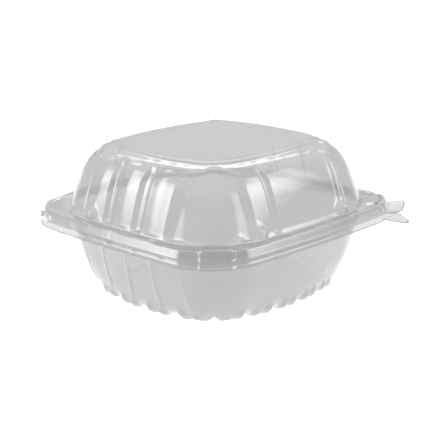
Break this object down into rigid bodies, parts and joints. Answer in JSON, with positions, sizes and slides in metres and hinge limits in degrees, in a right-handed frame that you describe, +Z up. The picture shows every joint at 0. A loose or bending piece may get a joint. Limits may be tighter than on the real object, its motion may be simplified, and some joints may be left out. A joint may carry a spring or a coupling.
{
  "type": "hinged-lid food container",
  "caption": "Clear formed plastic food container: a deep tray with a fluted domed lid on a back hinge, corner locks and two finger tabs at a front corner.",
  "frame": {"origin": "middle of the floor pad, on the plane that the container rests on", "axes": "+Z up through the lid, +Y towards the hinge, -Y the opening side, +X -Y the corner with the finger tabs"},
  "size_m": [0.1476, 0.15, 0.076],
  "materials": {
    "clear_sheet": "clear gloss, thin formed sheet",
    "hinge_sheet": "clear gloss, creased along the fold"
  },
  "bodies": {
    "tray": {"tray": "clear_sheet", "hinge_tray_leaf": "hinge_sheet"},
    "lid": {"lid": "clear_sheet", "hinge_lid_leaf": "hinge_sheet"}
  },
  "joints": [
    {"name": "lid_hinge", "type": "hinge", "parent": "tray", "child": "lid", "pos_m": [0, 0.0758, 0.04233], "axis": [-1, 0, 0], "range_deg": [0, 180]}
  ]
}
